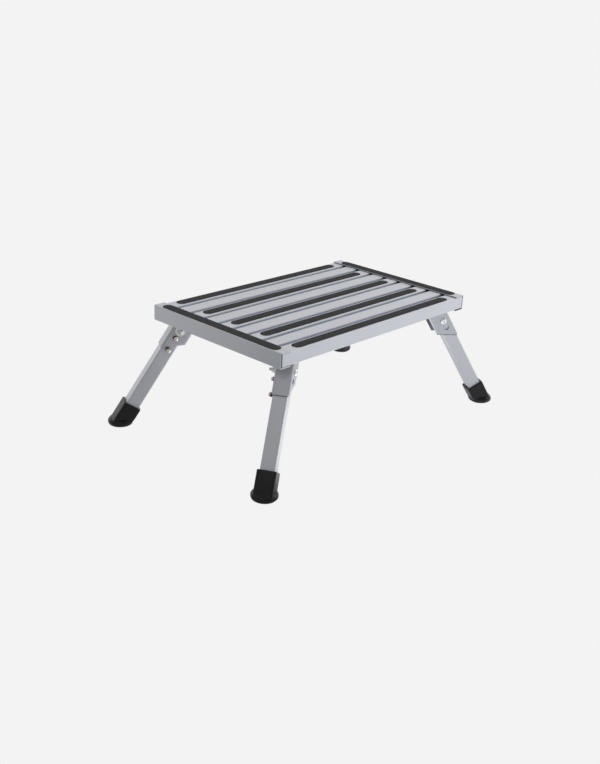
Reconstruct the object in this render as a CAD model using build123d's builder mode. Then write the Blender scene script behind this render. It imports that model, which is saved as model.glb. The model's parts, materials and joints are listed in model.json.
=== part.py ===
from build123d import *
import math
import os

os.makedirs("parts", exist_ok=True)

# A folding platform step: an aluminium deck on four splayed legs that fold flat under it.
# Frame: origin on the ground under the middle of the deck, +X along the deck, +Y to its
# back, +Z up. Lengths are in millimetres and angles in degrees.

# Deck
deck_length = 480.0
deck_width = 299.4
deck_height = 214.3
channel_height = 26.6
channel_flange = 22.0
channel_wall = 2.0
channel_corner_radius = 1.4
channel_tip_radius = 0.6
plank_count = 9
plank_width = 27.0
plank_wall = 1.5
plank_edge_radius = 3.0
plank_bottom_radius = 2.0
plank_inner_radius = 1.5
groove_width = 7.125
groove_depth = 11.0
plank_end_gap = 1.3

# Grip strips, stuck on every second plank and on both end channels
grip_thickness = 0.9
long_grip_length = 400.0
long_grip_width = 18.0
end_grip_length = 271.0
end_grip_width = 18.6

# Legs: square tubes, hinged near the deck's corners and splayed outwards
tube_size = 24.0
tube_wall = 1.6
tube_corner_radius = 2.5
tube_end = 188.0
pivot_x = 204.6
pivot_y = 128.3
pivot_drop = 43.9
pivot_to_ground = 199.8
splay_in_plan = 29.7
splay_from_vertical = 31.5

# Leg brackets, folded from sheet, with the pivot bolt through both cheeks
sheet = 2.0
cheek_gap = 0.3
stop_gap = 0.2
cheek_inner_edge = 22.6
cheek_bottom = 27.0
web_bottom = 30.5
cheek_corner_radius = 2.5
bend_radius = 4.0
shoulder_radius = 1.5

# Pivot bolt, M6, with a wide washer and a lock nut on the button side
bolt_radius = 3.0
bolt_clearance = 0.05
bolt_head_radius = 5.8
bolt_head_height = 3.4
bolt_head_rim = 0.6
socket_radius = 2.3
socket_depth = 1.8
washer_radius = 9.0
washer_thickness = 1.6
washer_clearance = 0.2
nut_across_flats = 10.0
nut_height = 4.6
nut_collar_radius = 4.6
nut_collar_height = 1.5
bolt_overhang = 4.6

# Snap buttons: one locks the leg in its bracket, and one below it is pressed to release it
lock_position = 15.2
release_position = 39.8
button_radius = 3.9
button_proud = 9.3
button_dome = 2.4
button_hole_gap = 0.3
button_base_radius = 5.0
button_base_thickness = 1.2
button_base_gap = 0.2
lock_hole_radius = 4.7
spring_thickness = 0.8
spring_width = 10.0
spring_start = 9.0
spring_bend_start = 66.0
spring_return_end = 46.0

# Rubber feet
sleeve_size = 32.0
sleeve_corner_radius = 4.0
sleeve_start = 157.0
sleeve_rim_radius = 1.2
pad_radius = 22.0
pad_bottom_radius = 18.4
pad_bulge_height = 5.5
pad_shoulder_radius = 19.4
pad_shoulder_height = 11.0
pad_top_height = 14.0
pad_inset = 2.4
pad_side_radius = 21.4
pad_lower_side_height = 2.4
pad_upper_side_height = 8.6
tread_depth = 1.0
tread_rings = ((6.0, 8.0), (12.0, 14.0))

# Blind rivets
rivet_radius = 2.0
rivet_head_radius = 4.0
rivet_head_height = 1.2
rivet_head_edge = 1.0
rivet_bulb_radius = 3.0
rivet_bulb_height = 2.0
bracket_rivet_spots = ((-29.0, 7.0), (-12.0, -8.0), (-1.0, -5.0))

# Worked out from the dimensions above
channel_bottom = deck_height - channel_height
plank_top = deck_height - channel_wall
plank_bottom = channel_bottom + channel_wall
plank_height = plank_top - plank_bottom
plank_middle = (plank_top + plank_bottom) / 2
plank_pitch = plank_width + groove_width
plank_length = deck_length - 2 * (channel_wall + plank_end_gap)
channel_rivet_x = (deck_length - channel_flange) / 2
pivot_height = deck_height - pivot_drop
cheek_top = plank_bottom - pivot_height
half_tube = tube_size / 2
bore_size = tube_size - 2 * tube_wall
cheek_inside = half_tube + cheek_gap
cheek_outside = cheek_inside + sheet
web_inside = half_tube + stop_gap
web_outside = web_inside + sheet
button_base_top = bore_size / 2 - button_base_gap
button_base_bottom = button_base_top - button_base_thickness
pad_centre = pivot_to_ground * math.sin(math.radians(splay_from_vertical)) - pad_inset

plank_names = (
    "front_side_rail",
    "front_plain_plank",
    "front_tread_plank",
    "front_middle_plain_plank",
    "middle_tread_plank",
    "back_middle_plain_plank",
    "back_tread_plank",
    "back_plain_plank",
    "back_side_rail",
)
corners = {
    "front_left": (-1, -1),
    "front_right": (1, -1),
    "back_left": (-1, 1),
    "back_right": (1, 1),
}


def plank_y(index):
    """Return the middle of a plank, counted from the front of the deck."""
    return (index - (plank_count - 1) / 2) * plank_pitch


def fold_plane(side_x, side_y):
    """Return the upright plane that a leg folds in: origin on the pivot, x outwards, y up."""
    turn = math.radians(splay_in_plan)
    outwards = Vector(side_x * math.cos(turn), side_y * math.sin(turn), 0)
    pivot = Vector(side_x * pivot_x, side_y * pivot_y, pivot_height)
    return Plane(origin=pivot, x_dir=outwards, z_dir=outwards.cross(Vector(0, 0, 1)))


def leg_plane(side_x, side_y):
    """Return the same plane turned so that x runs down the leg and y out of its outer face."""
    fold = fold_plane(side_x, side_y)
    lean = math.radians(splay_from_vertical)
    down_leg = fold.x_dir * math.sin(lean) - fold.y_dir * math.cos(lean)
    return Plane(origin=fold.origin, x_dir=down_leg, z_dir=fold.z_dir)


def along_leg(leg, distance):
    """Return the plane across a leg at a distance below its pivot."""
    return Plane(origin=leg.from_local_coords(Vector(distance, 0, 0)), x_dir=leg.y_dir, z_dir=leg.x_dir)


def button_side(side_x, side_y):
    """Return which side of a leg's plane the snap buttons and the nut are on."""
    return side_x * side_y


def edge_point(outwards, height):
    """Return where a line parallel to the leg meets a height, both from the pivot."""
    lean = math.radians(splay_from_vertical)
    return (outwards / math.cos(lean) - height * math.tan(lean), height)


def bracket_rivet_points():
    """Return the places of the rivets that hold the brackets to the planks above them."""
    points = []
    for side_x, side_y in corners.values():
        fold = fold_plane(side_x, side_y)
        side = button_side(side_x, side_y)
        for outwards, across in bracket_rivet_spots:
            point = fold.from_local_coords(Vector(outwards, 0, side * across))
            points.append((point.X, point.Y))
    return points


def save(piece, name):
    """Label a finished piece and write it to its own STEP file."""
    piece.part.label = name
    export_step(piece.part, f"parts/{name}.step")


# End channels: U-shaped sections that close the deck's ends and wrap the planks
for name, side in (("left_end_channel", -1), ("right_end_channel", 1)):
    with BuildPart() as channel:
        with BuildSketch(Plane.XZ.offset(-deck_width / 2)) as section:
            with Locations((side * channel_rivet_x, deck_height - channel_height / 2)):
                Rectangle(channel_flange, channel_height)
            fillet(section.vertices().group_by(Axis.X)[-1 if side > 0 else 0], radius=channel_corner_radius)
            with Locations((side * (channel_rivet_x - channel_wall), plank_middle)):
                Rectangle(channel_flange, plank_height, mode=Mode.SUBTRACT)
            fillet(section.vertices().group_by(Axis.X)[0 if side > 0 else -1], radius=channel_tip_radius)
        extrude(amount=deck_width)
        with BuildSketch(Plane.XY.offset(channel_bottom)):
            with Locations([(side * channel_rivet_x, plank_y(index)) for index in range(plank_count)]):
                Circle(rivet_radius)
        extrude(amount=channel_wall, mode=Mode.SUBTRACT)
    save(channel, name)

# Planks and side rails: hollow extrusions, each with a tongue that closes the groove behind it
for index, name in enumerate(plank_names):
    y = plank_y(index)
    holes = [(x, y) for x in (-channel_rivet_x, channel_rivet_x)]
    holes += [point for point in bracket_rivet_points() if abs(point[1] - y) < plank_width / 2]
    with BuildPart() as plank:
        with BuildSketch(Plane.YZ.offset(-plank_length / 2)) as section:
            with Locations((y, plank_middle)):
                Rectangle(plank_width, plank_height)
            fillet(section.vertices().group_by(Axis.Y)[-1], radius=plank_edge_radius)
            fillet(section.vertices().group_by(Axis.Y)[0], radius=plank_bottom_radius)
            with Locations((y, plank_middle)):
                RectangleRounded(plank_width - 2 * plank_wall, plank_height - 2 * plank_wall,
                                 plank_inner_radius, mode=Mode.SUBTRACT)
            if index < plank_count - 1:
                with Locations((y + plank_pitch / 2, plank_top - groove_depth - plank_wall / 2)):
                    Rectangle(groove_width, plank_wall)
        extrude(amount=plank_length)
        with BuildSketch(Plane.XY.offset(plank_bottom)):
            with Locations(holes):
                Circle(rivet_radius)
        extrude(amount=plank_wall, mode=Mode.SUBTRACT)
    save(plank, name)

# Grip strips with round ends
for index, name in ((0, "front_grip"), (2, "front_tread_grip"), (4, "middle_tread_grip"),
                    (6, "back_tread_grip"), (8, "back_grip")):
    with BuildPart() as grip:
        with BuildSketch(Plane.XY.offset(plank_top)):
            with Locations((0, plank_y(index))):
                SlotOverall(long_grip_length, long_grip_width)
        extrude(amount=grip_thickness)
    save(grip, name)

for name, side in (("left_end_grip", -1), ("right_end_grip", 1)):
    with BuildPart() as grip:
        with BuildSketch(Plane.XY.offset(deck_height)):
            with Locations((side * channel_rivet_x, 0)):
                SlotOverall(end_grip_length, end_grip_width, rotation=90)
        extrude(amount=grip_thickness)
    save(grip, name)

# Rivets that hold the planks to the lower flange of each end channel
for name, side in (("left_deck_rivets", -1), ("right_deck_rivets", 1)):
    spots = [(side * channel_rivet_x, plank_y(index)) for index in range(plank_count)]
    with BuildPart() as rivets:
        with BuildSketch(Plane.XY.offset(channel_bottom - rivet_head_height)):
            with Locations(spots):
                Circle(rivet_head_radius)
        extrude(amount=rivet_head_height)
        fillet(rivets.edges().group_by(Axis.Z)[0], radius=rivet_head_edge)
        with BuildSketch(Plane.XY.offset(channel_bottom)):
            with Locations(spots):
                Circle(rivet_radius)
        extrude(amount=channel_wall + plank_wall)
        with BuildSketch(Plane.XY.offset(plank_bottom + plank_wall)):
            with Locations(spots):
                Circle(rivet_bulb_radius)
        extrude(amount=rivet_bulb_height)
    save(rivets, name)

# Rivets that hold the leg brackets to the planks
with BuildPart() as bracket_rivets:
    with BuildSketch(Plane.XY.offset(plank_bottom - sheet - rivet_head_height)):
        with Locations(bracket_rivet_points()):
            Circle(rivet_head_radius)
    extrude(amount=rivet_head_height)
    fillet(bracket_rivets.edges().group_by(Axis.Z)[0], radius=rivet_head_edge)
    with BuildSketch(Plane.XY.offset(plank_bottom - sheet)):
        with Locations(bracket_rivet_points()):
            Circle(rivet_radius)
    extrude(amount=sheet + plank_wall)
    with BuildSketch(Plane.XY.offset(plank_bottom + plank_wall)):
        with Locations(bracket_rivet_points()):
            Circle(rivet_bulb_radius)
    extrude(amount=rivet_bulb_height)
save(bracket_rivets, "bracket_rivets")


def make_bracket(name, side_x, side_y):
    """Make a bracket: two cheeks, an outer web that stops the leg, and a top plate."""
    fold = fold_plane(side_x, side_y)
    leg = leg_plane(side_x, side_y)
    side = button_side(side_x, side_y)
    inside_top = cheek_top - sheet
    rivet_points = [(outwards, -side * across) for outwards, across in bracket_rivet_spots]
    top = Plane(origin=fold.from_local_coords(Vector(0, inside_top, 0)), x_dir=fold.x_dir, z_dir=fold.y_dir)
    with BuildPart() as bracket:
        with BuildSketch(fold) as outline:
            Polygon(
                edge_point(web_outside, cheek_top),
                edge_point(web_outside, -web_bottom),
                edge_point(-cheek_inner_edge, -cheek_bottom),
                edge_point(-cheek_inner_edge, cheek_top),
                align=None,
            )
            fillet(outline.vertices().sort_by(Axis.Y)[:2], radius=cheek_corner_radius)
        extrude(amount=cheek_outside, both=True)
        bends = bracket.edges().filter_by(Axis(leg.origin, leg.x_dir))
        fillet(bends.group_by(Axis(leg.origin, leg.y_dir))[-1], radius=bend_radius)
        shoulders = bracket.edges().filter_by(Axis(fold.origin, fold.x_dir))
        fillet(shoulders.group_by(Axis(fold.origin, fold.y_dir))[-1], radius=shoulder_radius)
        with BuildSketch(fold):
            Polygon(
                edge_point(web_inside, inside_top),
                edge_point(web_inside, -2 * cheek_bottom),
                edge_point(-2 * cheek_inner_edge, -2 * cheek_bottom),
                edge_point(-2 * cheek_inner_edge, inside_top),
                align=None,
            )
        extrude(amount=cheek_inside, both=True, mode=Mode.SUBTRACT)
        with BuildSketch(leg):
            Circle(bolt_radius + bolt_clearance)
        extrude(amount=2 * cheek_outside, both=True, mode=Mode.SUBTRACT)
        with BuildSketch(leg):
            with Locations((lock_position, 0)):
                Circle(lock_hole_radius)
        extrude(amount=2 * cheek_outside, both=True, mode=Mode.SUBTRACT)
        with BuildSketch(fold):
            with Locations((-lock_position, 0)):
                Circle(lock_hole_radius)
        extrude(amount=side * 2 * cheek_outside, mode=Mode.SUBTRACT)
        with BuildSketch(top):
            with Locations(rivet_points):
                Circle(rivet_radius)
        extrude(amount=sheet, mode=Mode.SUBTRACT)
    save(bracket, f"{name}_leg_bracket")


def make_leg_tube(name, side_x, side_y):
    """Make a square leg tube whose top end is rounded about the pivot."""
    leg = leg_plane(side_x, side_y)
    side = button_side(side_x, side_y)
    with BuildPart() as tube:
        with BuildSketch(along_leg(leg, -half_tube)):
            RectangleRounded(tube_size, tube_size, tube_corner_radius)
            RectangleRounded(bore_size, bore_size, tube_corner_radius / 2, mode=Mode.SUBTRACT)
        extrude(amount=half_tube + tube_end)
        with BuildSketch(leg):
            Circle(half_tube)
            with Locations((tube_end / 2, 0)):
                Rectangle(tube_end, tube_size)
        extrude(amount=tube_size, both=True, mode=Mode.INTERSECT)
        with BuildSketch(leg):
            Circle(bolt_radius + bolt_clearance)
        extrude(amount=tube_size, both=True, mode=Mode.SUBTRACT)
        with BuildSketch(leg):
            with Locations((lock_position, 0), (release_position, 0)):
                Circle(button_radius + button_hole_gap)
        extrude(amount=side * tube_size, mode=Mode.SUBTRACT)
    save(tube, f"{name}_leg_tube")


def make_foot(name, side_x, side_y):
    """Make a rubber foot: a square sleeve on the leg that ends in a round, level pad."""
    fold = fold_plane(side_x, side_y)
    leg = leg_plane(side_x, side_y)
    ground_point = fold.from_local_coords(Vector(pad_centre, -pivot_height, 0))
    upright = Plane(origin=ground_point, x_dir=fold.x_dir, z_dir=fold.z_dir)
    pad_axis = Axis(ground_point, (0, 0, 1))
    with BuildPart() as foot:
        with BuildSketch(along_leg(leg, sleeve_start)):
            RectangleRounded(sleeve_size, sleeve_size, sleeve_corner_radius)
        extrude(amount=pivot_to_ground - sleeve_start)
        fillet(foot.edges().group_by(Axis(leg.origin, leg.x_dir))[0], radius=sleeve_rim_radius)
        with BuildSketch(upright):
            with BuildLine():
                ThreePointArc((pad_bottom_radius, 0), (pad_side_radius, pad_lower_side_height),
                              (pad_radius, pad_bulge_height))
                Polyline((pad_radius, pad_bulge_height), (2 * pad_radius, pad_bulge_height + pad_radius),
                         (2 * pad_radius, -pad_radius), (pad_bottom_radius, -pad_radius),
                         (pad_bottom_radius, 0))
            make_face()
        revolve(axis=pad_axis, mode=Mode.SUBTRACT)
        with BuildSketch(upright):
            with Locations((0, -pad_radius)):
                Rectangle(4 * pad_radius, 2 * pad_radius)
        extrude(amount=2 * pad_radius, both=True, mode=Mode.SUBTRACT)
        with BuildSketch(upright):
            with BuildLine():
                Line((0, 0), (pad_bottom_radius, 0))
                ThreePointArc((pad_bottom_radius, 0), (pad_side_radius, pad_lower_side_height),
                              (pad_radius, pad_bulge_height))
                ThreePointArc((pad_radius, pad_bulge_height), (pad_side_radius, pad_upper_side_height),
                              (pad_shoulder_radius, pad_shoulder_height))
                Line((pad_shoulder_radius, pad_shoulder_height), (0, pad_top_height))
                Line((0, pad_top_height), (0, 0))
            make_face()
        revolve(axis=pad_axis)
        with BuildSketch(along_leg(leg, sleeve_start)):
            RectangleRounded(tube_size, tube_size, tube_corner_radius)
        extrude(amount=tube_end - sleeve_start, mode=Mode.SUBTRACT)
        with BuildSketch(Plane.XY):
            with Locations((ground_point.X, ground_point.Y)):
                for inner_radius, outer_radius in tread_rings:
                    with BuildSketch(mode=Mode.PRIVATE) as ring:
                        Circle(outer_radius)
                        Circle(inner_radius, mode=Mode.SUBTRACT)
                    add(ring.sketch)
        extrude(amount=tread_depth, mode=Mode.SUBTRACT)
    save(foot, f"{name}_foot")


def make_clip_spring(name, side_x, side_y):
    """Make the bent leaf spring inside a leg that carries both snap buttons."""
    leg = leg_plane(side_x, side_y)
    side = button_side(side_x, side_y)
    button_arm = side * (button_base_bottom - spring_thickness / 2)
    back_arm = -side * (bore_size - spring_thickness) / 2
    lengthwise = Plane(origin=leg.origin, x_dir=leg.x_dir, z_dir=-leg.y_dir)
    with BuildPart() as spring:
        with BuildSketch(lengthwise):
            with BuildLine():
                arm = Line((spring_start, button_arm), (spring_bend_start, button_arm))
                bend = TangentArc(arm @ 1, (spring_bend_start, back_arm), tangent=arm % 1)
                Line(bend @ 1, (spring_return_end, back_arm))
            trace(line_width=spring_thickness)
        extrude(amount=spring_width / 2, both=True)
    save(spring, f"{name}_clip_spring")


def make_button(name, kind, side_x, side_y, distance):
    """Make a snap button on its base, at a distance down the leg."""
    leg = leg_plane(side_x, side_y)
    side = button_side(side_x, side_y)
    button_top = half_tube + button_proud
    with BuildPart() as button:
        with BuildSketch(leg.offset(side * button_base_bottom)):
            with Locations((distance, 0)):
                Circle(button_radius)
        extrude(amount=side * (button_top - button_base_bottom))
        fillet(button.edges().group_by(Axis(leg.origin, leg.z_dir * side))[-1], radius=button_dome)
        with BuildSketch(leg.offset(side * button_base_bottom)):
            with Locations((distance, 0)):
                Circle(button_base_radius)
        extrude(amount=side * button_base_thickness)
    save(button, f"{name}_{kind}_button")


for name, (side_x, side_y) in corners.items():
    make_bracket(name, side_x, side_y)
    make_leg_tube(name, side_x, side_y)
    make_foot(name, side_x, side_y)
    make_clip_spring(name, side_x, side_y)
    make_button(name, "lock", side_x, side_y, lock_position)
    make_button(name, "release", side_x, side_y, release_position)

# Pivot bolts: a domed head with a hexagon socket, and a plain shank through both cheeks
nut_outside = cheek_outside + washer_thickness + nut_height + nut_collar_height
with BuildPart() as pivot_bolts:
    for side_x, side_y in corners.values():
        leg = leg_plane(side_x, side_y)
        side = button_side(side_x, side_y)
        head_face = leg.offset(-side * (cheek_outside + bolt_head_height))
        with BuildSketch(leg.offset(-side * cheek_outside)):
            Circle(bolt_head_radius)
        head = extrude(amount=-side * bolt_head_height)
        rim = head.edges().group_by(Axis(leg.origin, leg.z_dir * -side))[-1]
        fillet(rim, radius=bolt_head_height - bolt_head_rim)
        with BuildSketch(head_face):
            RegularPolygon(socket_radius, 6)
        extrude(amount=side * socket_depth, mode=Mode.SUBTRACT)
        with BuildSketch(leg.offset(-side * cheek_outside)):
            Circle(bolt_radius)
        extrude(amount=side * (cheek_outside + nut_outside + bolt_overhang))
save(pivot_bolts, "pivot_bolts")

with BuildPart() as pivot_washers:
    for side_x, side_y in corners.values():
        side = button_side(side_x, side_y)
        with BuildSketch(leg_plane(side_x, side_y).offset(side * cheek_outside)):
            Circle(washer_radius)
            Circle(bolt_radius + washer_clearance, mode=Mode.SUBTRACT)
        extrude(amount=side * washer_thickness)
save(pivot_washers, "pivot_washers")

with BuildPart() as pivot_nuts:
    for side_x, side_y in corners.values():
        leg = leg_plane(side_x, side_y)
        side = button_side(side_x, side_y)
        with BuildSketch(leg.offset(side * (cheek_outside + washer_thickness))):
            RegularPolygon(nut_across_flats / 2, 6, major_radius=False)
            Circle(bolt_radius, mode=Mode.SUBTRACT)
        extrude(amount=side * nut_height)
        with BuildSketch(leg.offset(side * (nut_outside - nut_collar_height))):
            Circle(nut_collar_radius)
            Circle(bolt_radius, mode=Mode.SUBTRACT)
        extrude(amount=side * nut_collar_height)
save(pivot_nuts, "pivot_nuts")
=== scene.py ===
import json
import math
import random

import bmesh
import bpy
from mathutils import Matrix, Vector


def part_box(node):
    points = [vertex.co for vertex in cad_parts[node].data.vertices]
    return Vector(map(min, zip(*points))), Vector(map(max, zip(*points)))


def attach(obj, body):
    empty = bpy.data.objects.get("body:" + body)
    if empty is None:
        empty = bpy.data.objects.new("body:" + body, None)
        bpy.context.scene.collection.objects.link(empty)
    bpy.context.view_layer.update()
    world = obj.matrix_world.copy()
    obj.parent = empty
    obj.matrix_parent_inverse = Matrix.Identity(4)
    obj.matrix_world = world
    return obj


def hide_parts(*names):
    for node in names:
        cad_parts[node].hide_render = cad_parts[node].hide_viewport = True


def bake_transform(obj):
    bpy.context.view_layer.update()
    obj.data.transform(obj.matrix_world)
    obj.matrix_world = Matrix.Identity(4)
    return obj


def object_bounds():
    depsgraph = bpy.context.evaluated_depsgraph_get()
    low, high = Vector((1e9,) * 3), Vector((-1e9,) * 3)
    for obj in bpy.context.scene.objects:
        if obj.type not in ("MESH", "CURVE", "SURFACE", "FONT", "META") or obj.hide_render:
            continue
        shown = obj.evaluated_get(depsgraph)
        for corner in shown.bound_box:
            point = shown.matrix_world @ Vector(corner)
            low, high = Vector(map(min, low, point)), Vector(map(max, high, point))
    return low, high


MM = 0.001

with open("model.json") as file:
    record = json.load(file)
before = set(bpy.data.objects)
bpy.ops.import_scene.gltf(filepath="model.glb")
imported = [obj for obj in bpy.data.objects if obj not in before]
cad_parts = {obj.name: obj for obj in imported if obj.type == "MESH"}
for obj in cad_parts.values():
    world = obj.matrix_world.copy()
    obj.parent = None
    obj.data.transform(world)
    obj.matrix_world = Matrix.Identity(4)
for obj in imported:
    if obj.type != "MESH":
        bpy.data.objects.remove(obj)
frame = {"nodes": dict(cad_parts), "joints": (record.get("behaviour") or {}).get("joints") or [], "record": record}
cad_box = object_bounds()


# Node trees

def socket(node, name, value):
    """Set a constant on one of a node's inputs."""
    node.inputs[name].default_value = value


class Nodes:
    """A node tree, with short calls for the nodes that are used here."""

    def __init__(self, tree):
        self.tree = tree

    def add(self, kind, links=None, **values):
        node = self.tree.nodes.new(kind)
        for name, value in values.items():
            setattr(node, name, value)
        for name, source in (links or {}).items():
            self.tree.links.new(source, node.inputs[name])
        return node

    def fill(self, inputs, values):
        """Link or set a node's inputs in order."""
        for place, value in zip(inputs, values):
            if isinstance(value, bpy.types.NodeSocket):
                self.tree.links.new(value, place)
            else:
                place.default_value = value

    def maths(self, operation, *values):
        node = self.add("ShaderNodeMath", operation=operation)
        self.fill(node.inputs, values)
        return node.outputs[0]

    def vector(self, operation, *values):
        """Return a vector, or the number that a dot product or a length gives."""
        node = self.add("ShaderNodeVectorMath", operation=operation)
        self.fill(node.inputs, values)
        return node.outputs["Value" if operation in ("DOT_PRODUCT", "LENGTH") else "Vector"]

    def scaled(self, colour, factor):
        """Return a colour times a number."""
        node = self.add("ShaderNodeVectorMath", operation="SCALE")
        self.fill((node.inputs["Vector"], node.inputs["Scale"]), (colour, factor))
        return node.outputs["Vector"]

    def ramp(self, source, low, high, first=0.0, last=1.0, smooth=False):
        """Return source stretched from low..high to first..last, clamped."""
        kind = "SMOOTHSTEP" if smooth else "LINEAR"
        node = self.add("ShaderNodeMapRange", {"Value": source}, interpolation_type=kind)
        socket(node, "From Min", low)
        socket(node, "From Max", high)
        socket(node, "To Min", first)
        socket(node, "To Max", last)
        return node.outputs["Result"]

    def mix(self, factor, first, second):
        """Return a colour between two, where each is a colour or another node's output."""
        node = self.add("ShaderNodeMix", {"Factor": factor}, data_type="RGBA")
        colours = [s for s in node.inputs if s.type == "RGBA"]
        values = [c if isinstance(c, bpy.types.NodeSocket) else (*c, 1.0) for c in (first, second)]
        self.fill(colours, values)
        return [s for s in node.outputs if s.type == "RGBA"][0]


class Shading(Nodes):
    """A material's node tree."""

    def __init__(self, name):
        self.material = bpy.data.materials.new(name)
        self.material.use_nodes = True
        super().__init__(self.material.node_tree)
        self.shader = self.tree.nodes["Principled BSDF"]
        self.place = self.add("ShaderNodeTexCoord").outputs["Object"]

    def stretched(self, scale):
        """Return object coordinates scaled along each axis."""
        mapping = self.add("ShaderNodeMapping", {"Vector": self.place})
        socket(mapping, "Scale", scale)
        return mapping.outputs["Vector"]

    def noise(self, scale, detail=2.0, roughness=0.5, vector=None):
        noise = self.add("ShaderNodeTexNoise", {"Vector": vector or self.place})
        socket(noise, "Scale", scale)
        socket(noise, "Detail", detail)
        socket(noise, "Roughness", roughness)
        return noise.outputs["Fac"]

    def cells(self, scale):
        cells = self.add("ShaderNodeTexVoronoi", {"Vector": self.place})
        socket(cells, "Scale", scale)
        return cells.outputs["Distance"]

    def along(self, direction):
        """Return how far a place is from the origin along a direction."""
        return self.vector("DOT_PRODUCT", self.place, direction)

    def past(self, planes):
        """Return 1 where a place is past every plane, each given as a direction and a distance."""
        mask = 1.0
        for facing, distance in planes:
            mask = self.maths("MULTIPLY", mask, self.maths("GREATER_THAN", self.along(facing), distance))
        return mask

    def colour(self, source):
        self.tree.links.new(source, self.shader.inputs["Base Color"])

    def roughness(self, source):
        self.tree.links.new(source, self.shader.inputs["Roughness"])

    def bump(self, height, distance, strength=1.0):
        bump = self.add("ShaderNodeBump", {"Height": height})
        socket(bump, "Distance", distance)
        socket(bump, "Strength", strength)
        self.tree.links.new(bump.outputs["Normal"], self.shader.inputs["Normal"])

    def shine(self, metallic, **sockets):
        socket(self.shader, "Metallic", metallic)
        for name, value in sockets.items():
            socket(self.shader, name.replace("_", " "), value)


# Legs

class Leg:
    """A folding leg's place at rest: the pivot, and directions out, down and to the buttons.

    The lean is the leg's angle from upright. Its fold goes on past a right angle by the lean.
    """

    def __init__(self, corner):
        joints = {row["name"]: row for row in frame["joints"]}
        fold = joints[f"{corner}_leg_fold"]
        self.corner = corner
        self.pivot = Vector(fold["pos_m"])
        self.lean = math.radians(fold["range_deg"][1] - 90)
        up = Vector((0, 0, 1))
        self.out = Vector(fold["axis"]).cross(up).normalized()
        self.down = self.out * math.sin(self.lean) - up * math.cos(self.lean)
        self.side = -Vector(joints[f"{corner}_button_press"]["axis"]).normalized()


corners = ("front_left", "front_right", "back_left", "back_right")
legs = [Leg(corner) for corner in corners]

# How far the buttons reach from their leg's middle
button_tip = 21.3 * MM


# Finishes

def grey(level):
    """Return a shade that is even in red, green and blue."""
    return (level, level, level)


def silver_coat(name, tone, grain, painted_shading=()):
    """Satin silver coat on aluminium, with a fine grain, faint clouds and streaks.

    Each entry of the painted shading is (planes, shade): past all of the planes, the tone is multiplied by that
    shade, which paints shade into the coat, and light where the shade is above one.
    """
    s = Shading(name)
    clouds = s.noise(14.0, 3.0)
    fine = s.noise(2600.0, 2.0, 0.6)
    streaks = s.noise(900.0, 2.0, 0.5, s.stretched(grain))
    mottled = s.mix(s.ramp(clouds, 0.3, 0.7), [c * 0.95 for c in tone], [c * 1.04 for c in tone])
    grained = s.mix(s.ramp(fine, 0.35, 0.65, 0.0, 0.35), mottled, [c * 1.18 for c in tone])
    for planes, shade in painted_shading:
        grained = s.mix(s.past(planes), grained, [c * k for c, k in zip(tone, shade)])
    s.colour(grained)
    s.roughness(s.ramp(s.maths("ADD", clouds, streaks), 0.6, 1.4, 0.40, 0.50))
    s.bump(s.maths("ADD", fine, s.maths("MULTIPLY", streaks, 0.6)), 0.00004, 0.6)
    s.shine(0.55)
    return s.material


def black_grit(name):
    """Anti-slip strip: coarse black grains, some of them greyer, in a matt binder."""
    s = Shading(name)
    grains = s.cells(1500.0)
    fine = s.noise(3000.0, 2.0)
    s.colour(s.mix(s.ramp(fine, 0.45, 0.8), (0.016, 0.016, 0.017), (0.060, 0.060, 0.062)))
    s.roughness(s.ramp(fine, 0.3, 0.7, 0.75, 0.95))
    s.bump(s.maths("ADD", grains, fine), 0.0003, 0.8)
    s.shine(0.0)
    return s.material


def black_rubber(name):
    s = Shading(name)
    clouds = s.noise(60.0, 3.0)
    fine = s.noise(1800.0, 2.0)
    s.colour(s.mix(s.ramp(clouds, 0.3, 0.7), (0.004, 0.004, 0.005), (0.009, 0.008, 0.009)))
    s.roughness(s.ramp(s.maths("ADD", clouds, fine), 0.6, 1.4, 0.26, 0.40))
    s.bump(fine, 0.00004, 0.5)
    s.shine(0.0, Specular_IOR_Level=0.36)
    return s.material


def plated_metal(name, tone, rough_low, rough_high):
    s = Shading(name)
    clouds = s.noise(220.0, 3.0)
    fine = s.noise(2500.0, 2.0)
    s.colour(s.mix(s.ramp(clouds, 0.3, 0.7), [c * 0.92 for c in tone], tone))
    s.roughness(s.ramp(s.maths("ADD", clouds, fine), 0.6, 1.4, rough_low, rough_high))
    s.bump(fine, 0.00002, 0.4)
    s.shine(0.8)
    return s.material


def button_metal(name, leg):
    """Warm nickel on the button's domed tip, with painted shade darkening its stem."""
    s = Shading(name)
    clouds = s.noise(300.0, 3.0)
    fine = s.noise(2500.0, 2.0)
    tip = leg.pivot.dot(leg.side) + button_tip
    bright = s.ramp(s.along(leg.side), tip - 4.6 * MM, tip - 3.0 * MM, smooth=True)
    nickel = s.mix(s.ramp(clouds, 0.3, 0.7), (0.88, 0.80, 0.71), (0.95, 0.88, 0.79))
    # Painted shade down the stem, faintly clouded
    stem_shade = s.mix(s.ramp(clouds, 0.35, 0.65), (0.045, 0.038, 0.030), (0.16, 0.13, 0.10))
    s.colour(s.mix(bright, stem_shade, nickel))
    s.roughness(s.ramp(s.maths("ADD", clouds, fine), 0.6, 1.4, 0.14, 0.26))
    s.bump(fine, 0.00002, 0.4)
    s.shine(1.0)
    return s.material


def nylon(name):
    """The lock nut's ring: dark blue nylon, faintly cloudy."""
    s = Shading(name)
    clouds = s.noise(500.0, 2.0)
    s.colour(s.mix(s.ramp(clouds, 0.3, 0.7), (0.010, 0.018, 0.060), (0.016, 0.028, 0.090)))
    s.roughness(s.ramp(clouds, 0.3, 0.7, 0.35, 0.5))
    s.shine(0.0)
    return s.material


along_x = (0.03, 1.0, 1.0)
along_y = (1.0, 0.03, 1.0)
along_z = (1.0, 1.0, 0.03)

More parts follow.
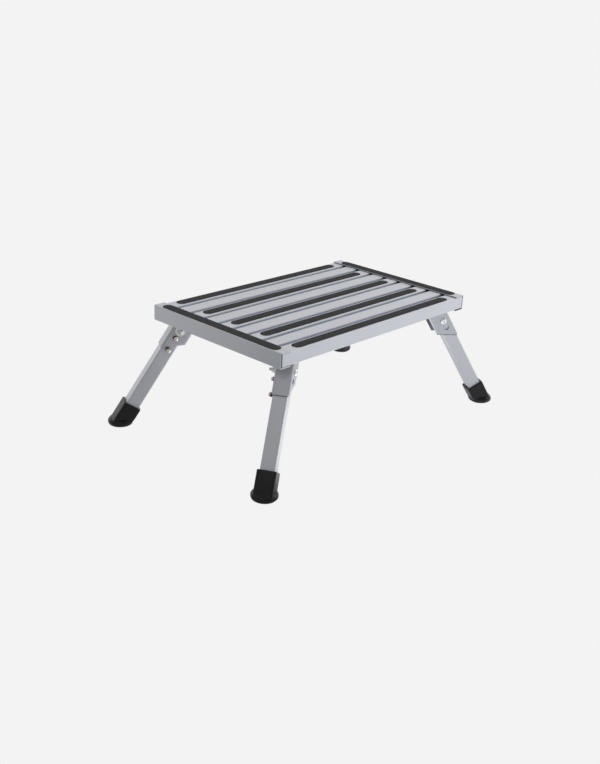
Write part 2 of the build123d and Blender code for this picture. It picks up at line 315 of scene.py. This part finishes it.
plank_tone = (0.66, 0.67, 0.70)
channel_tone = (0.62, 0.63, 0.66)
tube_tone = (0.62, 0.63, 0.66)
bracket_tone = (0.55, 0.555, 0.585)

# Planks: painted shadow on the ends under the channels' flanges, and painted shade and light on the
# grooves' walls in bands. A band is how far below the planks' top it starts, and its shade.
channel_low, channel_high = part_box("right_end_channel")
channel_wall = 2.0 * MM
channel_flange = 22.0 * MM
rail_margin = 3.4 * MM
flange_margin = 0.2 * MM
shadow_depth = 0.3 * MM
plank_top = channel_high[2] - channel_wall
rail_reach = rail_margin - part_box("back_side_rail")[1][1]
between_rails = ((0, -1, 0), rail_reach), ((0, 1, 0), rail_reach)
groove_shade_bands = (
    (0.6 * MM, (0.68, 0.71, 0.75)),
    (3.4 * MM, (1.22, 1.26, 1.32)),
    (11.0 * MM, grey(1.0)),
)
plank_painted_shading = []
# Painted shade and light in bands down the grooves' walls
for depth, shade in groove_shade_bands:
    lower = ((0, 0, -1), depth - plank_top)
    plank_painted_shading.append(((lower, *between_rails), shade))
# Painted shadow on the planks where they run under the channels' flanges
for sign in (-1, 1):
    outer = ((sign, 0, 0), channel_high[0] - channel_flange + flange_margin)
    lower = ((0, 0, -1), shadow_depth - plank_top)
    plank_painted_shading.append(((outer, lower, *between_rails), grey(0.04)))

finishes = {
    # The planks' coat carries their painted shade and light
    "plank": silver_coat("plank_coat_painted_shade", plank_tone, along_x, plank_painted_shading),
    "leg_tube": silver_coat("leg_coat", tube_tone, along_z),
    "grip": black_grit("grip_grit"),
    "foot": black_rubber("foot_rubber"),
    "zinc": plated_metal("zinc_plate", (1.00, 1.00, 0.97), 0.12, 0.24),
    "rivet": plated_metal("rivet_aluminium", (0.75, 0.75, 0.76), 0.28, 0.42),
    "spring": plated_metal("spring_steel", (0.40, 0.40, 0.42), 0.25, 0.40),
    "nylon": nylon("nylon_ring"),
}

# End channels: painted shade inside, a darker tip on the upper flange, and painted shade and light on the ends of
# the web and the lower flange, which differ from left to right as the light falls
web_corner = 0.8 * MM
inside_margin = 0.1 * MM
tip_margin = 0.3 * MM
end_margin = 0.05 * MM
for name, sign, web_shade, flange_shade in (("left", -1, 0.22, 1.05), ("right", 1, 0.8, 0.12)):
    inner_web = channel_high[0] - channel_wall
    web = ((sign, 0, 0), inner_web), ((-sign, 0, 0), web_corner - channel_high[0])
    lower_flange = ((0, 0, -1), -channel_low[2] - channel_wall)
    inside = (
        ((-sign, 0, 0), -inner_web - inside_margin),
        ((0, 0, -1), inside_margin - plank_top),
        ((0, 0, 1), channel_low[2] + channel_wall - inside_margin),
    )
    tip = ((-sign, 0, 0), channel_flange - channel_high[0] - tip_margin), ((0, 0, 1), plank_top)
    # Painted shade inside the channel, and a darker tip on its upper flange
    painted_shading = [(inside, grey(0.06)), (tip, grey(0.55))]
    # Painted shade and light on the ends of the web and the lower flange
    for end in (-1, 1):
        face = ((0, end, 0), channel_high[1] - end_margin)
        painted_shading += [((face, lower_flange), grey(flange_shade)), ((face, *web), grey(web_shade))]
    finishes[f"{name}_end_channel"] = silver_coat(f"{name}_channel_coat_painted_shade", channel_tone, along_y, painted_shading)

# Brackets: painted shade inside, and a painted shadow line along the lower edge, which slopes a little as it goes
# out; the line is darkest on the front legs
cheek_inside = 12.35 * MM
web_inside = 12.3 * MM
edge_shadow_line = 25.5 * MM
edge_slope = 0.077
edge_shadow_levels = {"front_left": 0.03, "front_right": 0.25, "back_left": 0.8, "back_right": 0.8}
for leg in legs:
    below = -(Vector((0, 0, 1)) + leg.out * edge_slope).normalized()
    edge = ((below, leg.pivot.dot(below) + edge_shadow_line),)
    middle = leg.pivot.dot(leg.side)
    face = leg.out * math.cos(leg.lean) + Vector((0, 0, math.sin(leg.lean)))
    inside = (
        (leg.side, middle - cheek_inside),
        (-leg.side, -middle - cheek_inside),
        (-face, -leg.pivot.dot(face) - web_inside),
    )
    # Painted shade inside the bracket, and a painted shadow line along its lower edge
    painted_shading = [(inside, grey(0.40)), (edge, grey(edge_shadow_levels[leg.corner]))]
    coat = silver_coat(f"{leg.corner}_bracket_coat_painted_shade", bracket_tone, along_z, painted_shading)
    finishes[f"{leg.corner}_leg_bracket"] = coat
    metal = button_metal(f"{leg.corner}_button_nickel", leg)
    for kind in ("lock", "release"):
        finishes[f"{leg.corner}_{kind}_button"] = metal

slots = {row["node"]: row["material_slot"] for row in frame["record"]["subparts"]}
for name, node in frame["nodes"].items():
    node.data.materials.clear()
    node.data.materials.append(finishes.get(name) or finishes[slots[name]])


# Mesh pieces

def add_piece(name, points, faces, body, node, finish=None):
    """Add a closed mesh that stands for a CAD node, in the node's finish or another.

    It rides on the named body; where body is not a name, the mesh stays where it is and rides on none.
    """
    mesh = bpy.data.meshes.new(name)
    mesh.from_pydata(points, [], faces)
    work = bmesh.new()
    work.from_mesh(mesh)
    bmesh.ops.recalc_face_normals(work, faces=work.faces)
    work.to_mesh(mesh)
    work.free()
    mesh.shade_smooth()
    mesh.set_sharp_from_angle(angle=math.radians(38))
    mesh.materials.append(finishes[finish or (node if node in finishes else slots[node])])
    piece = bpy.data.objects.new(name, mesh)
    bpy.context.scene.collection.objects.link(piece)
    if isinstance(body, str):
        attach(piece, body)
    else:
        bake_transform(piece)
    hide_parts(node)


def skin(rings, closed=False):
    """Return points and faces that join rings of equally many points, with both ends filled."""
    count = len(rings[0])
    points = [point for row in rings for point in row]
    spans = [(r, (r + 1) % len(rings)) for r in range(len(rings) if closed else len(rings) - 1)]
    faces = []
    for low, high in spans:
        for i in range(count):
            j = (i + 1) % count
            faces.append((low * count + i, low * count + j, high * count + j, high * count + i))
    if not closed:
        faces.append(tuple(range(count)))
        faces.append(tuple(range(len(points) - count, len(points))))
    return points, faces


def placed(origin, across, along):
    """Return the matrix of a place with X across and Z along."""
    z = Vector(along).normalized()
    x = Vector(across).normalized()
    turn = Matrix((x, z.cross(x), z)).transposed()
    return Matrix.Translation(origin) @ turn.to_4x4()


def ring(place, radius, height, count=48):
    """Return a ring about a place's Z. The radius is a number or a function of the angle."""
    points = []
    for i in range(count):
        angle = 2 * math.pi * i / count
        r = radius(angle) if callable(radius) else radius
        points.append(place @ Vector((r * math.cos(angle), r * math.sin(angle), height)))
    return points


def rounded(outer, inner, low, high, radius, steps=5):
    """Return (radius, height) pairs round a quarter circle from a side, up to a flat top."""
    pairs = []
    for i in range(steps + 1):
        angle = math.pi / 2 * i / steps
        pairs.append((outer - radius * (1 - math.cos(angle)), high - radius * (1 - math.sin(angle))))
    return [(outer, low)] + pairs + [(inner, high)]


def hexagon(across_flats):
    """Return a function of the angle that gives a hexagon's radius."""
    def radius(angle):
        return across_flats / 2 / math.cos(angle % (math.pi / 3) - math.pi / 6)
    return radius


# Grip strips

grip_cell = 1.0 * MM
grip_border = 0.35 * MM
grip_grit = 0.22 * MM
grains = random.Random(11)


def add_grip(name):
    """Add a strip with round ends, a thin border and a coarse, grainy top."""
    low, high = (Vector(corner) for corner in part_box(name))
    middle = (low + high) / 2
    size = high - low
    lengthwise = size.x > size.y
    length, width = (size.x, size.y) if lengthwise else (size.y, size.x)
    columns = round(length / grip_cell)
    rows = round(width / grip_cell)

    def point(i, j, height):
        y = width * (j / rows - 0.5)
        reach = (length - width) / 2 + math.sqrt(max(width * width / 4 - y * y, 0.0))
        x = reach * (2 * i / columns - 1)
        flat = (x, y) if lengthwise else (-y, x)
        return (middle.x + flat[0], middle.y + flat[1], height)

    points = []
    for i in range(columns + 1):
        for j in range(rows + 1):
            edge = i in (0, columns) or j in (0, rows)
            height = high.z - (grip_border if edge else grip_grit * grains.random() ** 2)
            points.append(point(i, j, height))
    stride = rows + 1
    faces = []
    for i in range(columns):
        for j in range(rows):
            near, far = i * stride + j, (i + 1) * stride + j
            faces.append((near, far, far + 1, near + 1))
    rim = [(i, 0) for i in range(columns)] + [(columns, j) for j in range(rows)]
    rim += [(i, rows) for i in range(columns, 0, -1)] + [(0, j) for j in range(rows, 0, -1)]
    first = len(points)
    points += [point(i, j, low.z) for i, j in rim]
    for n, (i, j) in enumerate(rim):
        m = (n + 1) % len(rim)
        next_i, next_j = rim[m]
        faces.append((i * stride + j, next_i * stride + next_j, first + m, first + n))
    faces.append(tuple(range(first, len(points))))
    add_piece(name + "_strip", points, faces, "deck", name)


for name in slots:
    if slots[name] == "grip":
        add_grip(name)


# Rubber feet

sleeve_start = 157.0 * MM
tube_half = 12.03 * MM
tube_end = 188.0 * MM
sleeve_half = 16.0 * MM
sleeve_rim = 1.2 * MM
sleeve_squareness = 9
sleeve_foot = 16.0 * MM
pad_inset = 2.4 * MM
pad_radius = 21.9 * MM
pad_bulge = 5.5 * MM
pad_neck = 11.0 * MM
pad_top = 14.0 * MM
pad_levels = (0.0, 0.5, 1.2, 2.4, 4.0, 5.5, 7.0, 8.6, 9.6, 10.4, 11.0, 11.4, 11.8, 12.2, 12.6, 13.0, 13.5)
neck_blend = 3.0 * MM
edge_blend = 1.5 * MM
tread_depth = 1.0 * MM
tread_rings = ((6.0 * MM, 8.0 * MM), (12.0 * MM, 14.0 * MM))
foot_points = 144


def pad_profile(height):
    """Return the pad's radius at a height: two arcs, from parabolas, and a cone above its neck."""
    heights = (0.0, 2.4 * MM, pad_bulge, 8.6 * MM, pad_neck)
    radii = (18.4 * MM, 21.3 * MM, pad_radius, 21.3 * MM, 19.4 * MM)
    if height >= pad_top:
        return 0.0
    if height > pad_neck:
        return radii[4] * (pad_top - height) / (pad_top - pad_neck)
    low, mid, high = (0, 1, 2) if height <= pad_bulge else (2, 3, 4)
    total = 0.0
    for a, b, c in ((low, mid, high), (mid, low, high), (high, low, mid)):
        share = (height - heights[b]) * (height - heights[c])
        total += radii[a] * share / (heights[a] - heights[b]) / (heights[a] - heights[c])
    return total


def soft_max(a, b, width):
    """Return the larger number, or a little more where the two are within a width."""
    gap = max(width - abs(a - b), 0.0) / width
    return max(a, b) + gap * gap * width / 4


def soft_min(a, b, width):
    """Return the smaller number, or a little less where the two are within a width."""
    return -soft_max(-a, -b, width)


def add_foot(leg):
    """Add a rubber foot: a square sleeve along the leg that flows into a round, level pad."""
    lean = leg.lean
    reach = leg.pivot.z / math.cos(lean)
    pad_centre = reach * math.sin(lean) - pad_inset
    ground = leg.pivot + leg.out * pad_centre
    ground.z = 0.0
    place = placed(ground, leg.out, (0, 0, 1))
    up = Vector((-math.sin(lean), 0, math.cos(lean)))
    pivot = Vector((-pad_centre, 0, leg.pivot.z))

    def sleeve(angle, height):
        """Return how far the sleeve's side is from the pad's axis at a height."""
        centre = pad_inset - height * math.tan(lean)
        near, far = 0.0, 3 * sleeve_half
        for _ in range(30):
            r = (near + far) / 2
            x = (r * math.cos(angle) - centre) * math.cos(lean) / sleeve_half
            y = r * math.sin(angle) / sleeve_half
            if abs(x) ** sleeve_squareness + abs(y) ** sleeve_squareness < 1:
                near = r
            else:
                far = r
        return near

    def radius(angle, height):
        pad = pad_profile(height)
        limit = pad if height <= pad_bulge else pad_radius + height - pad_bulge
        return soft_min(soft_max(sleeve(angle, height), pad, neck_blend), limit, edge_blend)

    angles = [2 * math.pi * i / foot_points for i in range(foot_points)]

    def level(height, r=None):
        """Return a level ring in the foot's own frame."""
        spans = [r if r is not None else radius(a, height) for a in angles]
        return [Vector((s * math.cos(a), s * math.sin(a), height)) for s, a in zip(spans, angles)]

    rings = []
    for inner, outer in tread_rings:
        rings += [level(0.0, inner), level(tread_depth, inner)]
        rings += [level(tread_depth, outer), level(0.0, outer)]
    rings += [level(h * MM) for h in pad_levels]
    base = level(sleeve_foot)
    down = -up

    def drawn(point, distance, size=1.0):
        """Return a point moved along the leg to a distance from the pivot, with its section scaled."""
        along = (point - pivot).dot(down)
        spot = point + down * (distance - along)
        centre = pivot + down * distance
        return centre + (spot - centre) * size

    # Up the sleeve's outside, over its rim, and down the pocket that holds the tube
    rings.append(base)
    for i in range(6):
        angle = math.pi / 2 * i / 5
        size = 1 - sleeve_rim * (1 - math.cos(angle)) / sleeve_half
        distance = sleeve_start + sleeve_rim * (1 - math.sin(angle))
        rings.append([drawn(p, distance, size) for p in base])
    pocket = tube_half / sleeve_half
    rings.append([drawn(p, sleeve_start, pocket) for p in base])
    rings.append([drawn(p, tube_end, pocket) for p in base])
    points, faces = skin([[place @ p for p in row] for row in rings])
    add_piece(f"{leg.corner}_rubber_foot", points, faces, f"{leg.corner}_leg", f"{leg.corner}_foot")


for leg in legs:
    add_foot(leg)


# Pivot bolts, washers and lock nuts

bracket_half = 14.3 * MM
bolt_radius = 3.0 * MM
head_height = 3.4 * MM
head_flat = 3.0 * MM
head_dome = 2.8 * MM
head_foot = 5.7 * MM
socket_flats = 4.0 * MM
socket_rim = 2.6 * MM
socket_chamfer = 0.15 * MM
socket_depth = 2.0 * MM
socket_cone = 0.2 * MM
cone_tip = 0.4 * MM
thread_pitch = 1.0 * MM
thread_depth = 0.55 * MM
thread_taper = 0.6 * MM
thread_end = 26.6 * MM
rings_per_turn = 12
washer_bore = 3.2 * MM
washer_rim = 9.0 * MM
washer_edge = 0.3 * MM
washer_thickness = 1.6 * MM
nut_flats = 10.0 * MM
nut_height = 4.6 * MM
nut_chamfer = 0.56 * MM
chamfer_start = 4.85 * MM
chamfer_slope = 1.73
collar_radius = 4.6 * MM
collar_start = 0.1 * MM
collar_round = 0.5 * MM
collar_height = 1.5 * MM
mouth_edge = 3.9 * MM
mouth_radius = 3.7 * MM
mouth_depth = 0.3 * MM
mouth_floor = 0.6 * MM
insert_radius = 3.65 * MM
insert_bore = 2.75 * MM
insert_low = 0.55 * MM
insert_high = 0.25 * MM
insert_round = 0.1 * MM
nut_start = bracket_half + washer_thickness
nut_end = nut_start + nut_height
collar_end = nut_end + collar_height
hex_points = 96


def add_bolt(leg):
    """Add a domed bolt with a hexagon socket and a cut thread on its free end."""
    place = placed(leg.pivot, leg.down, leg.side)
    top = -bracket_half - head_height
    key = hexagon(socket_flats)
    rings = [
        ring(place, cone_tip, top + socket_depth),
        ring(place, key, top + socket_depth - socket_cone),
        ring(place, key, top + socket_chamfer),
        ring(place, socket_rim, top),
    ]
    for i in range(9):
        angle = math.pi / 2 * i / 8
        r = head_flat + head_dome * math.sin(angle)
        rings.append(ring(place, r, top + head_dome * (1 - math.cos(angle))))
    rings += [ring(place, head_foot, -bracket_half), ring(place, bolt_radius, -bracket_half)]
    rings.append(ring(place, bolt_radius, nut_end))
    steps = round((thread_end - nut_end) / thread_pitch * rings_per_turn)
    for i in range(steps + 1):
        height = nut_end + (thread_end - nut_end) * i / steps
        taper = max(thread_taper - (thread_end - height), 0.0)

        def thread(angle):
            turn = (height / thread_pitch - angle / (2 * math.pi)) % 1.0
            return bolt_radius - taper - thread_depth * (1 - abs(2 * turn - 1))

        rings.append(ring(place, thread, height))
    points, faces = skin(rings)
    add_piece(f"{leg.corner}_pivot_bolt", points, faces, "deck", "pivot_bolts")


def add_washer(leg):
    """Add a wide washer with a rounded rim."""
    place = placed(leg.pivot, leg.down, leg.side)
    profile = rounded(washer_rim, washer_bore, bracket_half + washer_edge, nut_start, washer_edge)
    profile += [(washer_bore, bracket_half), (washer_rim - washer_edge, bracket_half)]
    points, faces = skin([ring(place, r, h) for r, h in profile], closed=True)
    add_piece(f"{leg.corner}_pivot_washer", points, faces, "deck", "pivot_washers")


def add_nut(leg):
    """Add a lock nut: a hexagon with turned corners, a collar, and the nylon ring inside it."""
    place = placed(leg.pivot, leg.down, leg.side)
    flats = hexagon(nut_flats)

    def turned(depth):
        """Return the hexagon's radius where its corners are turned off, at a depth from its end."""
        return lambda angle: min(flats(angle), chamfer_start + depth * chamfer_slope)

    depths = [nut_chamfer * i / 4 for i in range(5)]
    rings = [ring(place, bolt_radius, nut_start, hex_points)]
    rings += [ring(place, turned(depth), nut_start + depth, hex_points) for depth in depths]
    rings += [ring(place, turned(depth), nut_end - depth, hex_points) for depth in reversed(depths)]
    collar = rounded(collar_radius, mouth_edge, nut_end + collar_start, collar_end, collar_round)
    rings += [ring(place, r, h, hex_points) for r, h in collar]
    rings.append(ring(place, mouth_radius, collar_end - mouth_depth, hex_points))
    rings.append(ring(place, bolt_radius, collar_end - mouth_floor, hex_points))
    points, faces = skin(rings, closed=True)
    add_piece(f"{leg.corner}_lock_nut", points, faces, "deck", "pivot_nuts")
    low, high = collar_end - insert_low, collar_end - insert_high
    insert = rounded(insert_radius, insert_bore, low, high, insert_round, 2)
    insert.append((insert_bore, low))
    points, faces = skin([ring(place, r, h) for r, h in insert], closed=True)
    add_piece(f"{leg.corner}_nut_ring", points, faces, "deck", "pivot_nuts", "nylon")


# Snap buttons

base_low = 9.05 * MM
base_high = 10.2 * MM
base_radius = 5.0 * MM
base_edge = 0.2 * MM
stem_radius = 3.9 * MM
dome_width = 3.3 * MM
dome_flatness = 0.85
button_middle = 0.3 * MM


def add_button(leg, kind):
    """Add a snap button: a thin base inside the tube and a stem with a domed tip."""
    node = f"{leg.corner}_{kind}_button"
    low, high = (Vector(corner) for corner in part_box(node))
    away = (low + high) / 2 - leg.pivot
    distance = away.dot(leg.down)
    place = placed(leg.pivot + leg.down * distance, leg.down, leg.side)
    profile = [
        (button_middle, base_low),
        (base_radius - base_edge, base_low),
        (base_radius, base_low + base_edge),
        (base_radius, base_high - base_edge),
        (base_radius - base_edge, base_high),
        (stem_radius, base_high),
    ]
    for i in range(10):
        angle = math.pi / 2 * i / 10
        drop = dome_width * (1 - math.sin(angle)) * dome_flatness
        profile.append((stem_radius - dome_width * (1 - math.cos(angle)), button_tip - drop))
    profile.append((button_middle, button_tip))
    points, faces = skin([ring(place, r, h) for r, h in profile])
    add_piece(f"{node}_piece", points, faces, f"{leg.corner}_buttons", node)


# Leaf springs

spring_thickness = 0.76 * MM
spring_width = 10.0 * MM
spring_arm = 8.58 * MM
spring_back = -9.96 * MM
spring_start = 9.0 * MM
spring_bend = 66.0 * MM
spring_end = 46.0 * MM


def add_spring(leg):
    """Add the leaf spring in a leg, fixed where it is."""
    middle = (spring_arm + spring_back) / 2
    radius = (spring_arm - spring_back) / 2
    path = [(spring_start + (spring_bend - spring_start) * i / 20, spring_arm, 0.0) for i in range(20)]
    for i in range(25):
        angle = math.pi * i / 24
        path.append((spring_bend + radius * math.sin(angle), middle + radius * math.cos(angle), angle))
    path += [(spring_bend + (spring_end - spring_bend) * i / 8, spring_back, math.pi) for i in range(1, 9)]
    place = placed(leg.pivot, leg.down, leg.side)
    rings = []
    for distance, height, angle in path:
        section = []
        for across, off in ((-1, -1), (1, -1), (1, 1), (-1, 1)):
            x = distance + off * spring_thickness / 2 * math.sin(angle)
            z = height + off * spring_thickness / 2 * math.cos(angle)
            section.append(place @ Vector((x, across * spring_width / 2, z)))
        rings.append(section)
    points, faces = skin(rings)
    fixed = leg.pivot + leg.side * spring_back
    free = leg.pivot + leg.side * spring_arm
    bodies = f"{leg.corner}_leg", f"{leg.corner}_buttons", fixed, free
    add_piece(f"{leg.corner}_leaf_spring", points, faces, bodies, f"{leg.corner}_clip_spring")


for leg in legs:
    add_bolt(leg)
    add_washer(leg)
    add_nut(leg)
    add_button(leg, "lock")
    add_button(leg, "release")
    add_spring(leg)


# Light panels and floor

backdrop_white = (0.8963, 0.8963, 0.8963)


def direction(azimuth, elevation):
    """Return the direction at an angle round from +X and an angle above the floor."""
    turn = math.radians(azimuth)
    rise = math.radians(elevation)
    return (math.cos(turn) * math.cos(rise), math.sin(turn) * math.cos(rise), math.sin(rise))


def seen_or_light(nodes, light):
    """Return the plain backdrop where the camera sees it, and the light for everything else."""
    seen = nodes.add("ShaderNodeLightPath").outputs["Is Camera Ray"]
    return nodes.mix(seen, light, backdrop_white)


def glow_from(nodes, facing, lobes):
    """Return the light from where a vector faces, out of soft lobes."""
    light = (0.0, 0.0, 0.0)
    for axis, sharpness, tone in lobes:
        level = nodes.maths("MAXIMUM", nodes.vector("DOT_PRODUCT", facing, axis), 0.0)
        light = nodes.vector("ADD", light, nodes.scaled(tone, nodes.maths("POWER", level, sharpness)))
    return light


def add_panels(lobes):
    """Light the scene with soft panels that are far away, each with its direction, sharpness and colour."""
    world = bpy.data.worlds.new("studio")
    bpy.context.scene.world = world
    world.use_nodes = True
    sky = Nodes(world.node_tree)
    facing = sky.add("ShaderNodeTexCoord").outputs["Generated"]
    light = seen_or_light(sky, glow_from(sky, facing, lobes))
    sky.tree.links.new(light, sky.tree.nodes["Background"].inputs["Color"])


def floor_paint(lobes, near_tone, patch_tone):
    """Return a glowing floor's material, which can be seen through from below.

    Its light depends on the direction from the origin, with one tone near the object and another
    in a patch under the deck.
    """
    paint = bpy.data.materials.new("studio_floor")
    paint.use_nodes = True
    paint.node_tree.nodes.clear()
    ground = Nodes(paint.node_tree)
    place = ground.add("ShaderNodeTexCoord").outputs["Object"]
    spread = glow_from(ground, ground.vector("NORMALIZE", place), lobes)
    far = ground.ramp(ground.vector("LENGTH", place), 0.15, 0.55, smooth=True)
    from_patch = ground.vector("LENGTH", ground.vector("SUBTRACT", place, patch_middle))
    patch_edge = ground.ramp(from_patch, 0.15, 0.25, smooth=True)
    near = ground.mix(patch_edge, patch_tone, near_tone)
    light = seen_or_light(ground, ground.mix(far, near, spread))
    glow = ground.add("ShaderNodeEmission", {"Color": light})
    clear = ground.add("ShaderNodeBsdfTransparent")
    below = ground.add("ShaderNodeNewGeometry").outputs["Backfacing"]
    surface = ground.add("ShaderNodeMixShader", {"Fac": below})
    ground.tree.links.new(glow.outputs["Emission"], surface.inputs[1])
    ground.tree.links.new(clear.outputs["BSDF"], surface.inputs[2])
    ground.add("ShaderNodeOutputMaterial", {"Surface": surface.outputs["Shader"]})
    return paint


floor_size = 120.0
floor_gap = 0.3 * MM
patch_middle = (-0.03, -0.08, 0.0)

add_panels((
    (direction(0, 15), 3.0, (1.480, 1.500, 1.550)),
    (direction(90, 15), 6.0, (1.250, 1.200, 1.200)),
    (direction(180, 15), 3.0, (0.353, 0.361, 0.375)),
    (direction(270, 15), 3.0, (0.200, 0.200, 0.217)),
    (direction(0, 90), 1.5, (0.350, 0.350, 0.350)),
))
floor_lobes = (
    (direction(15, 0), 2.0, (1.107, 1.090, 1.112)),
    (direction(105, 0), 2.0, (0.780, 0.800, 0.823)),
    (direction(195, 0), 2.0, (0.250, 0.250, 0.250)),
    (direction(285, 0), 2.0, (0.996, 1.034, 1.074)),
)
bpy.ops.mesh.primitive_plane_add(size=floor_size, location=(0.0, 0.0, cad_box[0][2] - floor_gap))
floor = bpy.context.object
floor.name = "studio_floor"
floor.data.materials.append(floor_paint(floor_lobes, (0.520, 0.510, 0.550), (1.58, 1.55, 1.58)))


# Softboxes and camera

def softbox(name, spot, size, power):
    """Add a square softbox that faces the object."""
    lamp = bpy.data.lights.new(name, "AREA")
    lamp.shape = "SQUARE"
    lamp.size = size
    lamp.energy = power
    stand = bpy.data.objects.new(name, lamp)
    stand.location = spot
    stand.rotation_euler = (deck_middle - stand.location).to_track_quat("-Z", "Y").to_euler()
    bpy.context.scene.collection.objects.link(stand)


deck_middle = Vector((0.0, 0.0, 0.2))
softbox("right_light", (1.6, -1.5, 1.0), 0.5, 2.0)
softbox("left_light", (-1.3, -0.6, 1.6), 0.3, 1.0)

camera_place = Vector((-1.2250, -1.0813, 0.7246))
camera_aim = (0.68661, 0.62064, -0.37865)
camera_roll = math.radians(3.128)
camera_data = bpy.data.cameras.new("photo_view")
camera_data.lens = 45.58
camera_data.sensor_width = 36.0
camera = bpy.data.objects.new("photo_view", camera_data)
turn = Vector(camera_aim).to_track_quat("-Z", "Y").to_matrix() @ Matrix.Rotation(camera_roll, 3, "Z")
camera.matrix_world = Matrix.Translation(camera_place) @ turn.to_4x4()
bpy.context.scene.collection.objects.link(camera)
bpy.context.scene.camera = camera
bpy.context.scene.view_settings.view_transform = "Standard"
